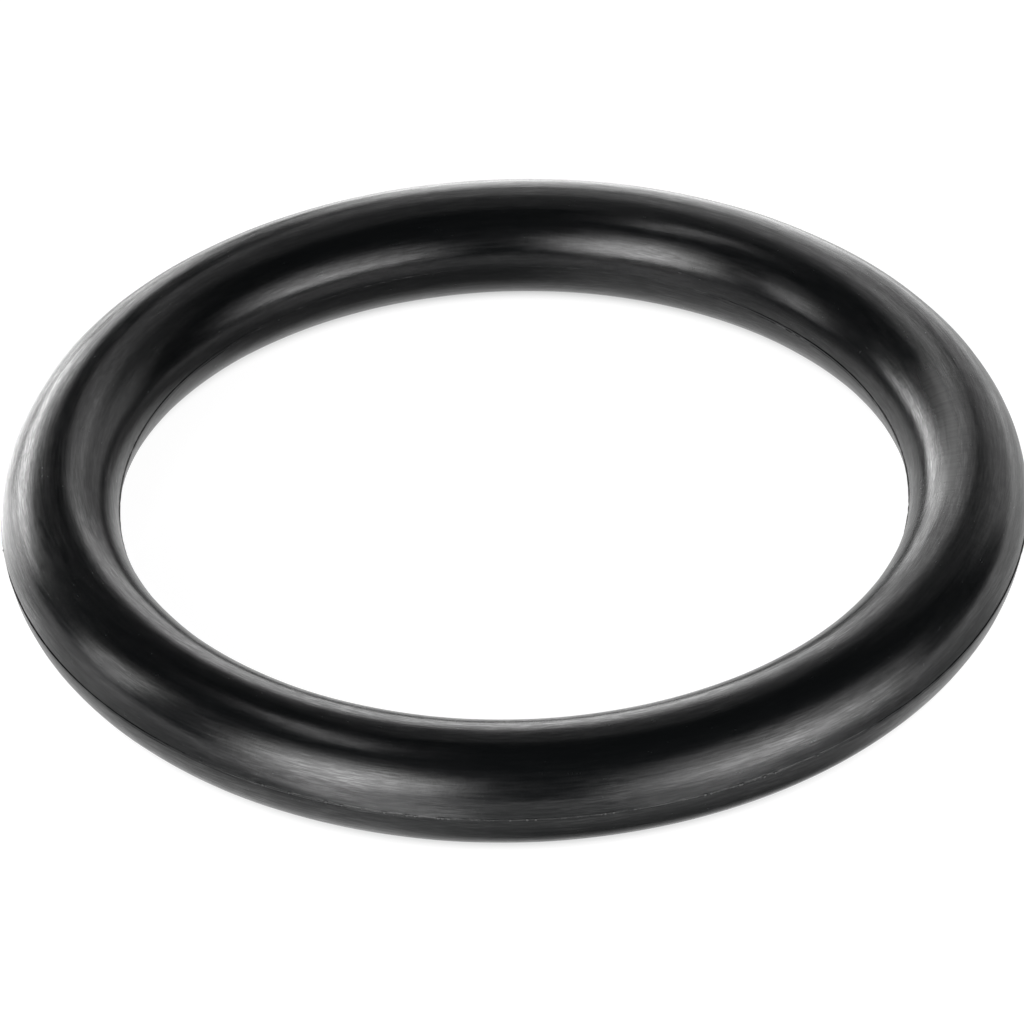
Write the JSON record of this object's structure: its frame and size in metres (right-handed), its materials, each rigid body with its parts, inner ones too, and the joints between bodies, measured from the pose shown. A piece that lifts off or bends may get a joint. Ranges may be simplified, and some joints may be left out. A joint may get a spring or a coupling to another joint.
{
  "type": "retaining ring",
  "caption": "Endless black rubber retaining ring of round section, stretched into a groove to keep a locking pin in place.",
  "frame": {"origin": "centre of the ring, on its axis and at half its thickness", "axes": "+Z along the ring's axis; the ring is the same all the way round it and from both faces"},
  "size_m": [0.0462, 0.0462, 0.0052],
  "materials": {
    "rubber": "satin black moulded rubber"
  },
  "bodies": {
    "root": {"retaining_ring": "rubber"}
  },
  "joints": []
}
